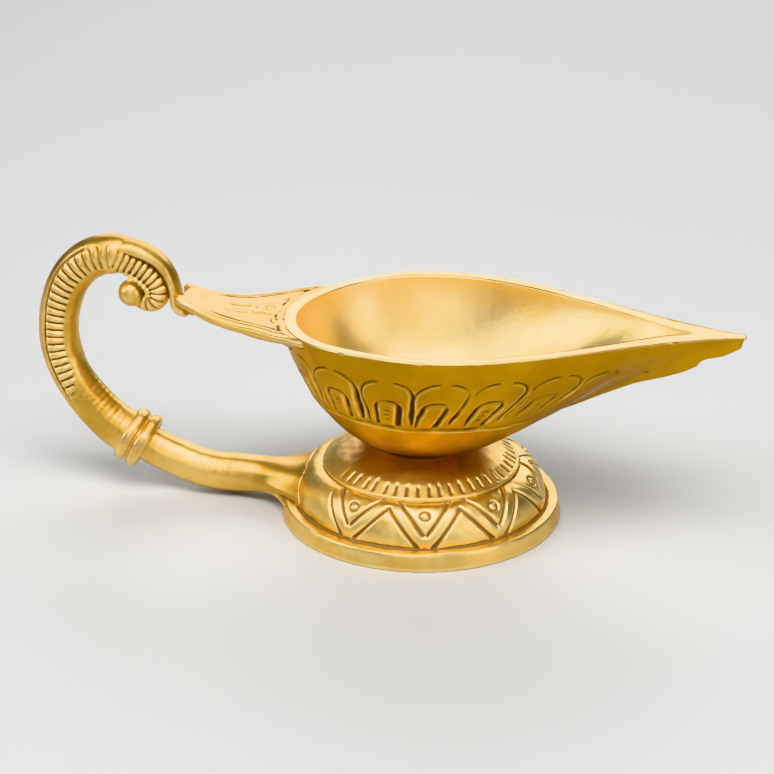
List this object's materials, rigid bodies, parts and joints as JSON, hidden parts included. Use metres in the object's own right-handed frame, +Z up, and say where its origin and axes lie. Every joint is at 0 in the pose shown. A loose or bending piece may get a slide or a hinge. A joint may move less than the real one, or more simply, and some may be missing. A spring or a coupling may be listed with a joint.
{
  "type": "diya oil lamp",
  "caption": "Hand-held brass oil lamp with a pointed teardrop bowl on a domed foot and a scrolled loop handle whose hook carries the bowl's tang.",
  "frame": {"origin": "middle of the bounding box in X and Y, at the plane the foot stands on", "axes": "+X towards the spout, +Z up from the table, +Y to the lamp's left when it is held by the handle with the spout ahead"},
  "size_m": [0.1758, 0.07, 0.0674],
  "materials": {
    "bowl_brass": "satin polished cast brass, brightest inside the bowl, dark patina left in the engraved lines",
    "foot_brass": "satin cast brass with brown patina in the chased grooves",
    "handle_brass": "hand-finished cast brass, worn bright on the outside of the curves",
    "fastener_steel": "plain bright steel"
  },
  "bodies": {
    "root": {"oil_bowl": "bowl_brass", "pedestal_foot": "foot_brass", "handle_arm": "handle_brass", "handle_scroll": "handle_brass", "handle_collar": "handle_brass", "collar_stud": "fastener_steel", "bowl_bolt": "fastener_steel", "bolt_washer": "fastener_steel", "arm_screw": "fastener_steel", "tang_pin": "handle_brass"}
  },
  "joints": []
}
